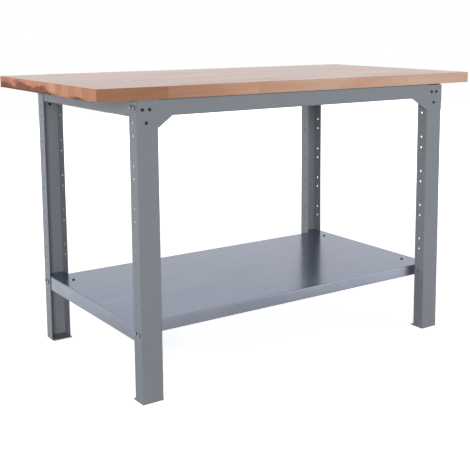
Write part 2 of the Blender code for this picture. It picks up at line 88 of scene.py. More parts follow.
# %% A socket that can be used in sums
class Signal:
    """The output of a shader node, as a number that varies over the surface."""

    def __init__(self, network, socket):
        self.network = network
        self.socket = socket

    def math(self, operation, first, second=0):
        inputs = {0: first, 1: second}
        return self.network.node("Math", {"operation": operation}, inputs)[0]

    def __add__(self, other):
        return self.math("ADD", self, other)

    __radd__ = __add__

    def __sub__(self, other):
        return self.math("SUBTRACT", self, other)

    def __rsub__(self, other):
        return self.math("SUBTRACT", other, self)

    def __mul__(self, other):
        return self.math("MULTIPLY", self, other)

    __rmul__ = __mul__

    def __truediv__(self, other):
        return self.math("DIVIDE", self, other)

    def __pow__(self, other):
        return self.math("POWER", self, other)

    def __abs__(self):
        return self.math("ABSOLUTE", self)

    def whole(self):
        return self.math("FLOOR", self)

    def wave(self):
        return self.math("SINE", self)

    def least(self, other):
        return self.math("MINIMUM", self, other)

    def most(self, other):
        return self.math("MAXIMUM", self, other)

    def ramp(self, low, high):
        """Rises smoothly from 0 at the low value to 1 at the high one.

        It falls instead where low is above high.
        """
        values = {"Value": self, "From Min": low, "From Max": high}
        return self.network.node("MapRange", {"interpolation_type": "SMOOTHSTEP"}, values)[0]


# %% A network that makes its own nodes
class Network:
    """A tree of nodes, and the means to add nodes to it and to wire them."""

    def __init__(self, tree):
        self.tree = tree

    def node(self, kind, settings=None, inputs=None):
        """Adds a node and returns its outputs, each as a signal."""
        node = self.tree.nodes.new("ShaderNode" + kind)
        for setting, value in (settings or {}).items():
            setattr(node, setting, value)
        for key, value in (inputs or {}).items():
            self.feed(node.inputs[key], value)
        return [Signal(self, socket) for socket in node.outputs]

    def readings(self, kind):
        """Adds a node that reads something, and returns its outputs by their names."""
        return {signal.socket.name: signal for signal in self.node(kind)}

    def feed(self, socket, value):
        """Links a signal to a socket, or sets its own value. A colour has three parts."""
        if isinstance(value, Signal):
            self.tree.links.new(value.socket, socket)
        elif socket.type == "RGBA":
            socket.default_value = (*value, 1)
        else:
            socket.default_value = value


# %% [markdown]
# A finish is such a network with a Principled shader at its end. Its patterns read the place on
# the bench in metres, so they lie in the solid as grain lies in wood, and never stretch over an
# edge.


# %% A finish
class Finish(Network):
    """A material with a Principled shader, and the means to build what feeds it."""

    def __init__(self, name):
        self.material = bpy.data.materials.new(name)
        self.material.use_nodes = True
        super().__init__(self.material.node_tree)
        self.shader = self.tree.nodes["Principled BSDF"]

    def along(self):
        """The place on the bench along X, Y and Z, in metres."""
        place = self.readings("TexCoord")["Object"]
        return self.node("SeparateXYZ", inputs={0: place})

    def facing(self):
        """How far the surface faces along X, Y and Z, without a sign."""
        normal = self.readings("TexCoord")["Normal"]
        return [abs(part) for part in self.node("SeparateXYZ", inputs={0: normal})]

    def vector(self, x, y, z):
        return self.node("CombineXYZ", inputs={0: x, 1: y, 2: z})[0]

    def noise(self, x, y, z, detail=3.0, roughness=0.5, distortion=0.0):
        """Cloudy noise from 0 to 1. The place is already in units of one cloud."""
        values = {
            "Vector": self.vector(x, y, z),
            "Scale": 1.0,
            "Detail": detail,
            "Roughness": roughness,
            "Distortion": distortion,
        }
        return self.node("TexNoise", inputs=values)[0]

    def even_noise(self, place, count, detail=3.0):
        """Noise with as many clouds to the metre along X as along Y and Z."""
        return self.noise(*(part * count for part in place), detail=detail)

    def chance(self, x, y, z):
        """One random number from 0 to 1 for each place of whole numbers."""
        return self.node("TexWhiteNoise", inputs={"Vector": self.vector(x, y, z)})[0]

    def mix(self, share, first, second, blend="MIX"):
        """Mixes two colours, which are the node's inputs 6 and 7 and its output 2."""
        inputs = {0: share, 6: first, 7: second}
        return self.node("Mix", {"data_type": "RGBA", "blend_type": blend}, inputs)[2]

    def stained(self, colour, stains):
        """Lays stains over a colour, one after the other, each with its share and its colour."""
        for share, stain in stains:
            colour = self.mix(share, colour, stain)
        return colour

    def shades(self, value, stops):
        """A colour for each value, from a list of places and colours."""
        node = self.tree.nodes.new("ShaderNodeValToRGB")
        ramp = node.color_ramp
        while len(ramp.elements) < len(stops):
            ramp.elements.new(0.5)
        for element, (spot, colour) in zip(ramp.elements, stops):
            element.position = spot
            element.color = (*colour, 1)
        self.feed(node.inputs[0], value)
        return Signal(self, node.outputs[0])

    def bump(self, height, depth, under=None):
        """Raises the surface by the height, a number from 0 to 1, times a depth in metres."""
        values = {"Height": height, "Distance": depth, "Strength": 1.0}
        if under is not None:
            values["Normal"] = under
        return self.node("Bump", inputs=values)[0]

    def set(self, **values):
        """Sets the Principled shader's inputs, with _ for a space."""
        for key, value in values.items():
            self.feed(self.shader.inputs[key.replace("_", " ")], value)
        print(self.material.name, "has", len(self.tree.nodes), "nodes")


# %% [markdown]
# ## Beech, glued from staves
#
# The worktop is a board of beech staves, butted end to end in rows and planed flush after gluing,
# so the staves show only by their tone and grain. An image would stretch over the edges and
# repeat. A solid pattern is better: the place in the board says which stave it is, and each stave
# has its own tone and its own piece of the log.
#
# The rows are counted from the front. A hair is taken off the count, so that the rear face still
# belongs to the last row, and the front face counts as a strip of its own, glued on in front.
# White noise gives a random number to each row or stave, and another seed gives another number.

# %% Which stave is it
beech = Finish("beech_board")
board_low, board_high = corners("worktop")
board_depth = board_high.y - board_low.y
board_height = board_high.z - board_low.z
stave_rows = 16
stave_width = board_depth / stave_rows
stave_length = 0.29
first_joint = 0.517
row_margin = 0.0001
row_seeds = (3.0, 1.0)

x, y, z = beech.along()
from_front = y - board_low.y
from_below = z - board_low.z
row_place = from_front / stave_width - row_margin
row = row_place.whole()
row_start = beech.chance(row, *row_seeds) * row.least(1) + first_joint
stave_place = (x - board_low.x) / stave_length + row_start
stave = stave_place.whole()


def stave_chance(seed):
    """A random number from 0 to 1 that belongs to the stave."""
    return beech.chance(row, stave, seed)


tone = stave_chance(seed=57.0)
shift = stave_chance(seed=11.0)
redness = stave_chance(seed=17.0)
print("staves of", round(stave_length * 1000), "by", round(stave_width * 1000, 1), "mm")

# %% [markdown]
# Wood grain is a set of growth rings, seen along the log as streaks and across it as arcs. Each
# stave takes its rings from a centre that lies off to one side and below, moved by chance, and a
# slow noise bends them. A multiple of the stave's own random number is added to the place, so
# that each stave gets its own piece of the noise.

# %% Growth rings
ring_width = 0.0031
sideways_spread = 0.12
upward_spread = 0.05
centre_below = 0.045
sideways_bend = 0.010
upward_bend = 0.006

centre_y = (shift - 0.5) * sideways_spread
centre_z = (tone - 0.5) * upward_spread - centre_below
bend = beech.noise(x * 2.1 + shift * 37, y * 9, z * 9, detail=2.0)
across_y = y + centre_y + (bend - 0.5) * sideways_bend
across_z = from_below + centre_z + (bend - 0.5) * upward_bend
from_centre = (across_y * across_y + across_z * across_z) ** 0.5
rings = (from_centre * (2 * math.pi / ring_width)).wave() * 0.5 + 0.5
print("rings", ring_width * 1000, "mm apart")

# %% [markdown]
# Fine noise, drawn out about seventy times along the stave, gives the fibres. Broader noise gives
# streaks and clouds, and short dark flecks are typical of beech. The counts are to one metre: few
# along the stave, and many across it.

# %% Fibres, streaks, clouds and flecks
fibre_count = 620
streak_count = 85
fleck_count = 1500

fibres = beech.noise(
    x * 9 + tone * 51, y * fibre_count, z * fibre_count, detail=4.0, roughness=0.65
)
streaks = beech.noise(x * 3.2 + shift * 71, y * streak_count, z * streak_count)
broad_streaks = beech.noise(x * 2.3 + tone * 13, y * 20, z * 75 + shift * 9, detail=2.0)
clouds = beech.noise(x * 1.7, y * 7, z * 7, roughness=0.6)
fleck_noise = beech.noise(x * 210, y * fleck_count, z * fleck_count + tone * 9, detail=1.0)
flecks = fleck_noise.ramp(0.66, 0.78)

facing = beech.facing()
end_grain = facing[0].ramp(0.6, 0.9)
upright = 1 - facing[2].ramp(0.3, 0.7)
print("fibres", round(1000 / fibre_count, 1), "mm apart")

# %% [markdown]
# Between the staves a glue line shows as a hair of darker wood. It lies where the place across a
# row, or along it, is close to a whole number, so the distance to the nearest whole number draws
# it.

# %% Glue lines
glue_reach = 0.0006
glue_core = 0.0001


def glue_line(place, size):
    """1 within a hair of the joints between neighbours of this size, and 0 away from them."""
    off_middle = abs(place - place.whole() - 0.5)
    return off_middle.ramp(0.5 - glue_reach / size, 0.5 - glue_core / size)


butt_joints = glue_line(stave_place, stave_length) * (1 - end_grain)
glue = glue_line(row_place, stave_width).most(butt_joints)
print("glue lines", glue_reach * 1000, "mm to each side of a joint")

# %% [markdown]
# The colours run from a pale pinkish cream to a warm brown. The stave's tone picks one, its
# redness tints it, and slow clouds warm the upright edges. Along the front edge the left end is
# darker, and towards the right the wood gets paler and its marks calm down. On the top the staves
# differ more from each other, under an even pink that makes up half of the colour.

# %% Colour along the grain
rightwards = x.ramp(-0.62, 0.12)
marks = 1 - rightwards * upright * 0.8
tone_spread = 0.40 - upright * 0.22
paling = 0.06 + upright * 0.60
darkest_top = 0.36
edge_drop = 0.19

planed = beech.shades(
    tone * tone_spread + rightwards * paling + darkest_top - upright * edge_drop,
    [
        (0.0, (0.45, 0.215, 0.122)),
        (0.35, (0.54, 0.285, 0.178)),
        (0.7, (0.93, 0.560, 0.400)),
        (1.0, (1.0, 0.715, 0.525)),
    ],
)
red_tint = (1.0, 0.86, 0.86)
warm_tint = (1.0, 0.88, 0.82)
top_pink = (0.78, 0.55, 0.51)
planed = beech.mix(redness * 0.5, planed, red_tint, "MULTIPLY")
planed = beech.mix(clouds.ramp(0.45, 0.58) * upright * 0.6, planed, warm_tint, "MULTIPLY")
planed = beech.mix((1 - upright) * 0.5, planed, top_pink)

ring_brown = (0.30, 0.135, 0.065)
streak_brown = (0.34, 0.155, 0.08)
streak_red = (0.38, 0.13, 0.08)
cloud_pink = (0.46, 0.19, 0.15)
fleck_brown = (0.16, 0.075, 0.04)
long_grain = beech.stained(
    planed,
    [
        (rings * marks * 0.16, ring_brown),
        (streaks.ramp(0.35, 0.75) * marks * 0.3, streak_brown),
        (broad_streaks.ramp(0.45, 0.72) * marks * 0.32, streak_red),
        (clouds.ramp(0.40, 0.62) * 0.14, cloud_pink),
        (flecks * 0.55, fleck_brown),
    ],
)
print("beech marked by rings, streaks, clouds and flecks")

# %% [markdown]
# End grain soaks up oil and damp. It shows its rings more, and towards the rear corner and the
# lower edge it has turned a dark reddish brown in slanting patches, nearly black at the very
# bottom.

# %% Colour of the end grain
up_share = from_below / board_height
rear_share = (from_front / board_depth).ramp(0.42, 0.56)
patches = beech.noise(y * 8 + z * 22, z * 30 - y * 7, x * 3, detail=4.0, roughness=0.6)
damp_height = (patches - 0.5) * 2.8 + rear_share * 0.66 + 0.06
damp = (damp_height - up_share).ramp(-0.12, 0.34)
scorched = beech.noise(y * 60, z * 90, x * 5).ramp(0.4, 0.7)

end_brown = (0.46, 0.195, 0.112)
end_cream = (0.76, 0.400, 0.248)
end_ring = (0.27, 0.100, 0.05)
rear_red = (0.42, 0.115, 0.070)
damp_brown = (0.165, 0.038, 0.018)
edge_black = (0.045, 0.014, 0.010)
cut_grain = beech.stained(
    beech.mix(tone * 0.7 + redness * 0.3, end_brown, end_cream),
    [
        (rings * 0.25, end_ring),
        (rear_share * 0.35, rear_red),
        (damp * (0.70 + scorched * 0.26), damp_brown),
        (up_share.ramp(0.24, 0.04) * damp * 0.75, edge_black),
    ],
)
print("end grain on a board", round(board_height * 1000, 1), "mm thick")

# %% [markdown]
# The board is oiled to a low sheen. The shader's clear coat stands for the oil, mostly on the
# top, which makes the top look paler when it is seen at a flat angle.

# %% Sheen of the board
relief_depth = 0.00006
glue_brown = (0.20, 0.095, 0.05)
board_colour = beech.mix(end_grain, long_grain, cut_grain)
board_colour = beech.mix(glue * (0.1 + upright * 0.3), board_colour, glue_brown)
relief = fibres * 0.5 + rings * 0.2 - flecks * 0.5 - glue * 0.4
beech.set(
    Base_Color=board_colour,
    Roughness=0.30 - upright * 0.10 + fibres * 0.06 + end_grain * 0.3,
    Normal=beech.bump(relief, relief_depth),
    Specular_IOR_Level=0.14,
    Coat_Weight=(1 - upright) * (0.46 - clouds * 0.3) + (1 - end_grain) * 0.1,
    Coat_Roughness=0.3,
)

# %% [markdown]
# ## Powder coat on folded sheet
#
# The legs and rails are sprayed with dry paint that melts in an oven. It comes out satin, with
# the faint waviness of orange peel, slow changes of tone and a few pale specks. Near the floor a
# little dust clings to it. All of this varies with the place on the bench, so no two legs look
# alike.

# %% Grey powder coat
coat = Finish("grey_powder_coat")
dust_height = 0.14
peel_depth = 0.00005
place = coat.along()
x, y, z = place
peel = coat.even_noise(place, count=420, detail=2.0)
cloud = coat.noise(x * 5, y * 5, z * 3, detail=4.0)
specks = coat.even_noise(place, count=900, detail=0.0).ramp(0.72, 0.8)
dust_grain = coat.noise(x * 60, y * 60, z * 25, detail=5.0).ramp(0.4, 0.75)
dust = z.ramp(dust_height, 0.0) * dust_grain

dark_grey = (0.218, 0.235, 0.258)
light_grey = (0.242, 0.261, 0.286)
dust_brown = (0.42, 0.39, 0.34)
speck_grey = (0.45, 0.47, 0.48)
coat_colour = coat.stained(
    coat.mix(cloud, dark_grey, light_grey),
    [(dust * 0.18, dust_brown), (specks * 0.12, speck_grey)],
)
coat.set(
    Base_Color=coat_colour,
    Roughness=0.42 + cloud * 0.10 + dust * 0.2,
    Normal=coat.bump(peel, peel_depth),
    Specular_IOR_Level=0.34,
)

# %% [markdown]
# ## Zinc-coated sheet
#
# The shelf and its beams are bare sheet with a bright zinc coat. It mirrors the legs softly: the
# reflection is sharp close to the leg and fades away from it, because the rolled surface is
# slightly rough. The zinc has broad pale clouds from the bath, fine lines from the rollers along
# the sheet, and a few wipe marks. The sheet isn't quite flat, so a slow bump bends its
# reflections. On the upper face the base colour is made darker and bluer, under a thin clear
# coat: a painted bluish tint in that face's reflections, standing in for bluish light around the
# bench.

# %% Bright zinc sheet
zinc = Finish("bright_zinc_sheet")
x, y, z = zinc.along()
roller_depth = 0.000004
slack_depth = 0.0012
bath = zinc.noise(x * 4.5, y * 7, z * 7, detail=5.0, roughness=0.55)
rolled = zinc.noise(x * 6, y * 900, z * 900, roughness=0.7)
wiped = zinc.noise(x * 3.5 + y * 4, y * 26 - x * 6, z * 20, detail=4.0, distortion=0.6)
slack = zinc.noise(x * 2.2, y * 3.1, z * 3, detail=1.0)
# Painted reflection: where the zinc faces up, a darker, bluer base colour under a thin clear coat
# tints its reflections blue.
painted_tint_share = zinc.facing()[2].ramp(0.5, 0.9)

bath_share = bath.ramp(0.3, 0.7)
painted_reflection_blue = zinc.mix(bath_share, (0.152, 0.187, 0.284), (0.184, 0.216, 0.318))
bare_grey = zinc.mix(bath_share, (0.292, 0.320, 0.386), (0.338, 0.358, 0.422))
wiped_grey = (0.40, 0.42, 0.48)
wiped_share = wiped.ramp(0.5, 0.8) * (0.3 - painted_tint_share * 0.2)
zinc.set(
    Base_Color=zinc.mix(wiped_share, zinc.mix(painted_tint_share, bare_grey, painted_reflection_blue), wiped_grey),
    Metallic=1 - painted_tint_share * 0.15,
    Roughness=0.20 - painted_tint_share * 0.05 + bath * 0.10 + rolled * 0.08,
    Coat_Weight=painted_tint_share * 0.2,
    Coat_Roughness=0.08,
    Normal=zinc.bump(rolled, roller_depth, zinc.bump(slack, slack_depth)),
)

# %% [markdown]
# ## Fastener finishes
#
# The hexagon bolts are bright zinc-plated, with a faint bluish sheen. The gusset screws are black
# oxide on steel, oiled, which leaves them nearly black with a dull shine and slightly browner on
# worn spots.

# %% Bright plate
plate = Finish("zinc_plated_bolts")
turned_depth = 0.00001
plate_blue = (0.29, 0.33, 0.40)
plate_grey = (0.42, 0.45, 0.50)
place = plate.along()
passivated = plate.even_noise(place, count=160)
turned_marks = plate.even_noise(place, count=3000, detail=1.0)
plate.set(
    Base_Color=plate.mix(passivated, plate_blue, plate_grey),
    Metallic=1.0,
    Roughness=0.32 + passivated * 0.16,
    Normal=plate.bump(turned_marks, turned_depth),
)

# %% Black oxide
oxide = Finish("black_oxide_screws")
oil_depth = 0.00002
oxide_black = (0.012, 0.012, 0.013)
worn_brown = (0.035, 0.031, 0.028)
oil = oxide.even_noise(oxide.along(), count=240)
oxide.set(
    Base_Color=oxide.mix(oil.ramp(0.35, 0.75), oxide_black, worn_brown),
    Metallic=0.4,
    Roughness=0.38 + oil * 0.2,
    Normal=oxide.bump(oil, oil_depth),
)

# %% [markdown]
# ## Softening the sheet edges
#
# A sheared sheet edge is never razor sharp, and paint rounds it further, so it catches a thin
# highlight. The solids come as loose triangles. Weld joins them, Decimate joins the flat ones
# into whole faces, and Bevel can then round every true edge. A tiny node group shades the small
# steps of a bend smoothly, and Weighted Normal keeps the flat faces flat. All of this is done
# with live modifiers, so the solids stay as they are.

# %% A node group that shades smoothly up to an angle
bend_step = math.radians(40)


def smooth_shading(angle):
    """A node group that shades smooth where neighbouring faces meet flatter than the angle."""
    group = bpy.data.node_groups.new("smooth_bends", "GeometryNodeTree")
    for direction in ("INPUT", "OUTPUT"):
        group.interface.new_socket("Geometry", in_out=direction, socket_type="NodeSocketGeometry")
    start = group.nodes.new("NodeGroupInput")
    end = group.nodes.new("NodeGroupOutput")
    faces = group.nodes.new("GeometryNodeSetShadeSmooth")
    edges = group.nodes.new("GeometryNodeSetShadeSmooth")
    edges.domain = "EDGE"
    meeting = group.nodes.new("GeometryNodeInputMeshEdgeAngle")
    flat_enough = group.nodes.new("FunctionNodeCompare")
    flat_enough.data_type = "FLOAT"
    flat_enough.operation = "LESS_EQUAL"
    flat_enough.inputs["B"].default_value = angle
    link = group.links.new
    link(start.outputs[0], faces.inputs["Geometry"])
    link(faces.outputs[0], edges.inputs["Geometry"])
    link(meeting.outputs[0], flat_enough.inputs["A"])
    link(flat_enough.outputs[0], edges.inputs["Shade Smooth"])
    link(edges.outputs[0], end.inputs[0])
    return group


smooth_bends = smooth_shading(bend_step)
print(len(smooth_bends.nodes), "nodes shade the bends")

# %% Round the edges of a solid
hair = 0.00001
flat_angle = math.radians(0.5)
true_edge = math.radians(50)


def soften(name, width):
    """Rounds the sharp edges of a solid and shades its bends smoothly."""
    solid = nodes[name]
    weld = solid.modifiers.new("weld", "WELD")
    weld.merge_threshold = hair
    flat = solid.modifiers.new("whole faces", "DECIMATE")
    flat.decimate_type = "DISSOLVE"
    flat.angle_limit = flat_angle
    edge = solid.modifiers.new("rounded edges", "BEVEL")
    edge.width = width
    edge.segments = 2
    edge.limit_method = "ANGLE"
    edge.angle_limit = true_edge
    shading = solid.modifiers.new("smooth bends", "NODES")
    shading.node_group = smooth_bends
    weighted = solid.modifiers.new("flat faces", "WEIGHTED_NORMAL")
    weighted.keep_sharp = True


edge_widths = [
    (legs + rails, 0.0005),
    (foot_plates, 0.0006),
    (beams, 0.0003),
    (["shelf_tray"], 0.0002),
    (["worktop"], 0.0004),
]
for names, width in edge_widths:
    for name in names:
        soften(name, width)
    print("edges of", len(names), "solids rounded by", width * 1000, "mm")

# %% [markdown]
# ## Putting the finishes on
#
# A solid keeps its shape and only changes its finish, so the finish goes in the object's own
# material slot.


# %% Finishes for the solids
def paint(names, finish):
    """Puts a finish on the solids with these names."""
    for name in names:
        slots = nodes[name].material_slots
        slots[0].link = "OBJECT"
        slots[0].material = finish.material
    print(finish.material.name, "on", len(names), "solids")


paint(["worktop"], beech)
paint(legs + foot_plates + rails, coat)
paint(beams + ["shelf_tray"], zinc)

# %% [markdown]
# ## Shaping a fastener
#
# Fasteners are small, but a bench has dozens of them and the eye looks for them. Their solids are
# plain prisms and cylinders. The real ones are forged and turned, so each kind is modelled finely
# once: upright, with the seat of its head at height zero and its shank below. It starts from
# primitives, which are cut and joined like blanks in a workshop. Blanks that are joined overlap a
# little, because Boolean joins those more cleanly than blanks that only touch. These helpers add
# a blank, cut or join two blanks, and select by place in edit mode.


# %% Blanks that are cut and joined
def blank(sides, radius, low, high, top_radius=None):
    """An upright prism or cone between two heights. With many sides it is round."""
    bpy.ops.object.select_all(action="DESELECT")
    bpy.ops.mesh.primitive_cone_add(
        vertices=sides,
        radius1=radius,
        radius2=radius if top_radius is None else top_radius,
        depth=high - low,
        location=(0, 0, (low + high) / 2),
    )
    bpy.ops.object.transform_apply(location=True)
    return bpy.context.object


def combine(piece, tool, operation):
    """Joins a piece and a tool, cuts the tool out of it, or keeps what both share."""
    bpy.context.view_layer.objects.active = piece
    change = piece.modifiers.new("combine", "BOOLEAN")
    change.operation = operation
    change.solver = "EXACT"
    change.object = tool
    bpy.ops.object.modifier_apply(modifier=change.name)
    bpy.data.objects.remove(tool)


# %% Selecting by place
def pick(piece, kind, wanted):
    """In edit mode, selects the points, edges or faces whose middle is wanted."""
    bpy.ops.mesh.select_mode(type=kind)
    bpy.ops.mesh.select_all(action="DESELECT")
    mesh = bmesh.from_edit_mesh(piece.data)
    items = {"VERT": mesh.verts, "EDGE": mesh.edges, "FACE": mesh.faces}[kind]
    for item in items:
        points = [item] if kind == "VERT" else item.verts
        middle = sum((point.co for point in points), Vector()) / len(points)
        if wanted(middle):
            item.select_set(True)
    bmesh.update_edit_mesh(piece.data)


# %% [markdown]
# A nut or bolt head is a hexagon whose corners are turned off at 30 degrees, which leaves the
# curved edges that everyone knows. That shape is what a hexagonal prism and a steep cone have in
# common, so Boolean makes it. Its size is given across the flats, as for a spanner.

# %% Hexagons
head_sides = 48
corner_slope = math.tan(math.radians(60))
turned_share = 0.95
overrun = 0.001


def corner_radius(flats):
    """How far a hexagon's corners lie from its middle."""
    return flats / 2 / math.cos(math.radians(30))


def hexagon(flats, low, high, turned_low=False):
    """A hexagon with its upper corners turned off, and its lower ones too where wanted."""
    piece = blank(6, corner_radius(flats), low, high)
    turned = flats / 2 * turned_share
    near = turned - overrun * corner_slope
    far = turned + (high - low + overrun) * corner_slope
    combine(piece, blank(head_sides, far, low - overrun, high + overrun, near), "INTERSECT")
    if turned_low:
        combine(piece, blank(head_sides, near, low - overrun, high + overrun, far), "INTERSECT")
    return piece


# %% [markdown]
# A thread is shown as fine rings: the shank is scored across at every half turn, and every second
# ring is drawn in. A true helix would look the same at this size and cost far more faces. The
# chamfer at the tip, the first ring and the depth are given in pitches.

# %% Threads
shank_sides = 24
tip_chamfer = 0.55
first_ring = 0.6
thread_depth = 0.5


def threaded(radius, low, high, pitch, thread_top):
    """A shank with a chamfered tip and a thread from its tip up to a height."""
    piece = blank(shank_sides, radius, low, high)
    bpy.ops.object.mode_set(mode="EDIT")
    pick(piece, "EDGE", lambda middle: abs(middle.z - low) < hair)
    bpy.ops.mesh.bevel(offset=pitch * tip_chamfer, segments=1, affect="EDGES")
    half_turns = int((thread_top - low) / (pitch / 2))
    heights = [low + pitch * first_ring + turn * pitch / 2 for turn in range(half_turns)]
    for height in heights:
        bpy.ops.mesh.select_all(action="SELECT")
        bpy.ops.mesh.bisect(plane_co=(0, 0, height), plane_no=(0, 0, 1))
    drawn_in = heights[1::2]

    def on_a_ring(middle):
        return any(abs(middle.z - height) < 2 * hair for height in drawn_in)

    pick(piece, "VERT", on_a_ring)
    share = 1 - thread_depth * pitch / radius
    bpy.ops.transform.resize(value=(share, share, 1), center_override=(0, 0, 0))
    bpy.ops.object.mode_set(mode="OBJECT")
    return piece


# %% [markdown]
# ## Hexagon bolts
#
# The bolts that hold the side rails and the shelf beams to the legs have a round washer face
# under the head and a shallow dimple on top, left by forging. Their length comes from their
# solid, so that the nut sits on the inner sheet. The last touch is a fine bevel on every true
# edge.


# %% Lengths and seats of the solids
def seat_of(name, outward, head_height):
    """The middle of a head's underside, and the length of the shank below it."""
    low, high = corners(name)
    far = sum(max(a * d, b * d) for a, b, d in zip(low, high, outward))
    span = abs((high - low).dot(outward))
    middle = (low + high) / 2
    seat = middle + outward * (far - head_height - middle.dot(outward))
    return seat, span - head_height


def shank_length(name, axis, head_height):
    """The length of the shank of a fastener whose head points along an axis."""
    length = seat_of(name, Vector(axis), head_height)[1]
    print(name, "has a shank of", round(length * 1000, 1), "mm")
    return length


bolt_head_height = 0.004
rail_bolt_length = shank_length("side_rail_bolt_front_left_1", (-1, 0, 0), bolt_head_height)
shelf_bolt_length = shank_length("shelf_bolt_front_left_1", (-1, 0, 0), bolt_head_height)

# %% Fine edges and nuts
machined_edge = math.radians(40)
smooth_angle = math.radians(35)
thread_end = 0.0015


def fine_edges(piece, width):
    """Rounds every true edge of a finished piece and shades the rest smoothly."""
    bpy.context.view_layer.objects.active = piece
    edge = piece.modifiers.new("fine edges", "BEVEL")
    edge.width = width
    edge.segments = 2
    edge.limit_method = "ANGLE"
    edge.angle_limit = machined_edge
    bpy.ops.object.modifier_apply(modifier=edge.name)
    bpy.ops.object.select_all(action="DESELECT")
    piece.select_set(True)
    bpy.ops.object.shade_smooth_by_angle(angle=smooth_angle)


def tighten_nut(piece, length, flats, height):
    """Puts a nut near the tip of a fastener whose shank has this length."""
    nut_top = thread_end + height - length
    nut = hexagon(flats, nut_top - height, nut_top, turned_low=True)
    combine(piece, nut, "UNION")


# %% Model a hexagon bolt
bolt_flats = 0.010
bolt_radius = 0.003
bolt_pitch = 0.001
bolt_edge = 0.00015
nut_height = 0.005
washer_face = 0.0004
dimple_rim = 0.2
dimple_slope = 0.04
dimple_depth = 0.03


def hexagon_bolt(length):
    """A hexagon bolt with its nut tightened on."""
    piece = hexagon(bolt_flats, washer_face, bolt_head_height)
    bpy.ops.object.mode_set(mode="EDIT")
    pick(piece, "FACE", lambda middle: middle.z > bolt_head_height - hair)
    bpy.ops.mesh.inset(thickness=bolt_flats * dimple_rim, depth=0)
    bpy.ops.mesh.inset(thickness=bolt_flats * dimple_slope, depth=-bolt_flats * dimple_depth)
    bpy.ops.object.mode_set(mode="OBJECT")
    washer = blank(head_sides, bolt_flats / 2 * turned_share, 0, washer_face * 2)
    combine(piece, washer, "UNION")
    tighten_nut(piece, length, bolt_flats, nut_height)
    shank = threaded(bolt_radius, -length, washer_face * 3, bolt_pitch, thread_end * 2 - length)
    combine(piece, shank, "UNION")
    fine_edges(piece, bolt_edge)
    return piece


rail_bolt = hexagon_bolt(rail_bolt_length)
shelf_bolt = hexagon_bolt(shelf_bolt_length)
print("a bolt has", len(rail_bolt.data.polygons), "faces")

# %% [markdown]
# ## Button-head screws
#
# The gussets and the corners of the shelf are held by small black screws with a domed head and a
# hexagon socket. The dome is a wide bevel round the rim of a short cylinder. The socket is cut
# with a hexagonal tool that ends in a blunt point, as a broached hole does.

# %% A domed head
dome_sides = 40
dome_segments = 6


def domed_head(radius, height, dome):
    """A round head with a domed rim, standing on zero."""
    piece = blank(dome_sides, radius, 0, height)
    bpy.ops.object.mode_set(mode="EDIT")
    pick(piece, "EDGE", lambda middle: middle.z > height - hair)
    bpy.ops.mesh.bevel(offset=dome, segments=dome_segments, affect="EDGES")
    bpy.ops.object.mode_set(mode="OBJECT")
    return piece


# %% Model a button-head screw
button_radius = 0.0045
button_height = 0.0028
button_dome = 0.0022
socket_flats = 0.003
socket_depth = 0.0017
point_width = 0.2
point_depth = 0.4
small_radius = 0.0025
small_pitch = 0.0008
small_nut_flats = 0.008
small_nut_height = 0.004
screw_edge = 0.0001


def button_screw(length):
    """A button-head screw with its nut tightened on."""
    piece = domed_head(button_radius, button_height, button_dome)
    socket_radius = corner_radius(socket_flats)
    socket_floor = button_height - socket_depth
    socket = blank(6, socket_radius, socket_floor, button_height + overrun)
    combine(piece, socket, "DIFFERENCE")
    point_low = socket_floor - socket_radius * point_depth
    point_top = socket_floor + overrun
    point = blank(6, socket_radius * point_width, point_low, point_top, socket_radius)
    combine(piece, point, "DIFFERENCE")
    tighten_nut(piece, length, small_nut_flats, small_nut_height)
    shank_top = socket_floor / 3
    shank = threaded(small_radius, -length, shank_top, small_pitch, thread_end * 2 - length)
    combine(piece, shank, "UNION")
    fine_edges(piece, screw_edge)
    return piece


rail_screw = button_screw(shank_length("rail_screw_front_left_1", (0, -1, 0), button_height))
tray_screw = button_screw(shank_length("tray_screw_front_left", (0, 0, 1), button_height))
print("a screw has", len(rail_screw.data.polygons), "faces")

# %% [markdown]
# ## Wood screws
#
# From below, wood screws go through the rails into the worktop. Only their pan heads show. The
# cross recess is cut with two flat blades that narrow towards their tips, like the screwdriver
# that drives them.

# %% A blade for the cross recess
pan_radius = 0.005
pan_height = 0.0025
pan_dome = 0.0014
blade_width = 0.0011
blade_span = 0.0052
blade_tip = 0.55
recess_depth = 0.0016


def blade(span_x, span_y):
    """A flat blade that narrows downwards to the floor of the recess."""
    middle_height = pan_height + overrun / 2 - recess_depth / 2
    recess_floor = pan_height - recess_depth
    bpy.ops.object.select_all(action="DESELECT")
    bpy.ops.mesh.primitive_cube_add(size=1, location=(0, 0, middle_height))
    tool = bpy.context.object
    tool.scale = (span_x, span_y, recess_depth + overrun)
    bpy.ops.object.transform_apply(location=True, scale=True)
    bpy.ops.object.mode_set(mode="EDIT")
    pick(tool, "FACE", lambda middle: middle.z < recess_floor + hair)
    bpy.ops.transform.resize(value=(blade_tip, blade_tip, 1), center_override=(0, 0, 0))
    bpy.ops.object.mode_set(mode="OBJECT")
    return tool


# %% Model a wood screw
wood_radius = 0.00225
wood_pitch = 0.0018
tip_radius = 0.0001
shank_in_head = 0.2
point_in_shank = 0.8
point_taper = 0.9


def wood_screw(length):
    """A pan-head wood screw with a coarse thread and a point."""
    piece = domed_head(pan_radius, pan_height, pan_dome)
    combine(piece, blade(blade_width, blade_span), "DIFFERENCE")
    combine(piece, blade(blade_span, blade_width), "DIFFERENCE")
    point_length = wood_radius * 2
    shank_low = point_length - length
    shank_top = pan_height * shank_in_head
    shank = threaded(wood_radius, shank_low, shank_top, wood_pitch, -pan_height)
    combine(piece, shank, "UNION")
    point_top = shank_low + wood_pitch * point_in_shank
    point = blank(shank_sides, tip_radius, -length, point_top, wood_radius * point_taper)
    combine(piece, point, "UNION")
    fine_edges(piece, screw_edge)
    return piece


worktop_screw = wood_screw(shank_length("worktop_screw_front_1", (0, 0, -1), pan_height))
print("a wood screw has", len(worktop_screw.data.polygons), "faces")

